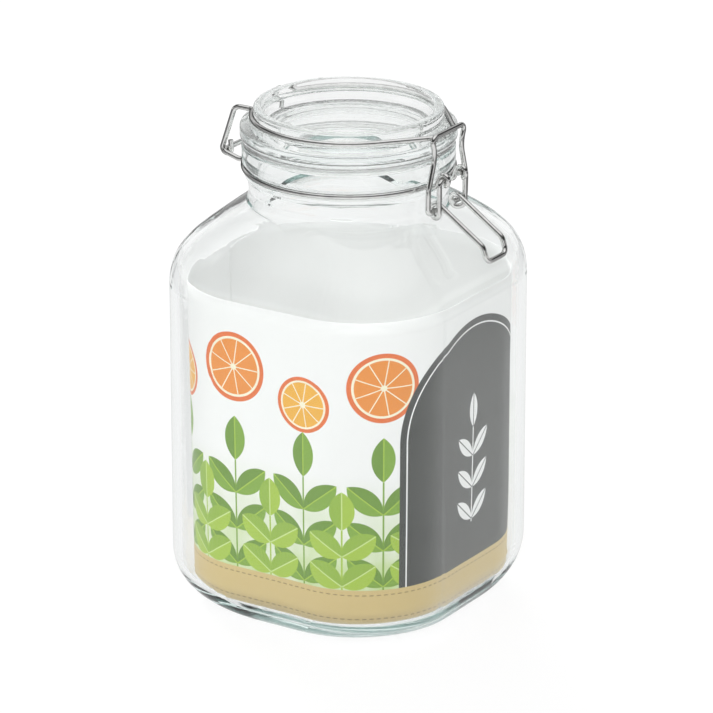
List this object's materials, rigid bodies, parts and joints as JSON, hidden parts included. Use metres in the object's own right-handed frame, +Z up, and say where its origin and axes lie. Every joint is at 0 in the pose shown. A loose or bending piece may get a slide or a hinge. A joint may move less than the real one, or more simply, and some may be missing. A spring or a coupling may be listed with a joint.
{
  "type": "lidded glass canister",
  "caption": "Square clear glass storage canister with a round neck, a hinged glass lid, a silicone gasket and a wire lever clip, lined with a printed paper insert.",
  "frame": {"origin": "centre of the jar's base, on the surface it stands on", "axes": "+Z up through the neck, the lever and catch at -Y, the lid's hinge at +Y, the hinge axis along X"},
  "size_m": [0.145, 0.1545, 0.2415],
  "materials": {
    "jar_glass": "clear moulded soda-lime glass with a faint green edge tint",
    "lid_glass": "clear pressed glass",
    "gasket": "translucent milky silicone",
    "paper": "printed coated paper, white inside",
    "wire": "bright drawn stainless wire"
  },
  "bodies": {
    "jar": {"glass_jar": "jar_glass", "neck_wire": "wire", "paper_insert": "paper"},
    "lid": {"glass_lid": "lid_glass", "silicone_gasket": "gasket", "lid_wire": "wire"},
    "lever": {"lever": "wire"},
    "bail": {"bail": "wire"}
  },
  "joints": [
    {"name": "lid_hinge", "type": "hinge", "parent": "jar", "child": "lid", "pos_m": [0, 0.0564, 0.215], "axis": [-1, 0, 0], "range_deg": [0, 180]},
    {"name": "lever_pivot", "type": "hinge", "parent": "jar", "child": "lever", "pos_m": [0, -0.0566, 0.2165], "axis": [-1, 0, 0], "range_deg": [0, 90]},
    {"name": "bail_pivot", "type": "hinge", "parent": "lever", "child": "bail", "pos_m": [0, -0.0536, 0.202], "axis": [-1, 0, 0], "range_deg": [-103.6, 0]}
  ],
  "couplings": [
    {"joint": "bail_pivot", "follows": "lever_pivot", "ratio": -1.15}
  ]
}
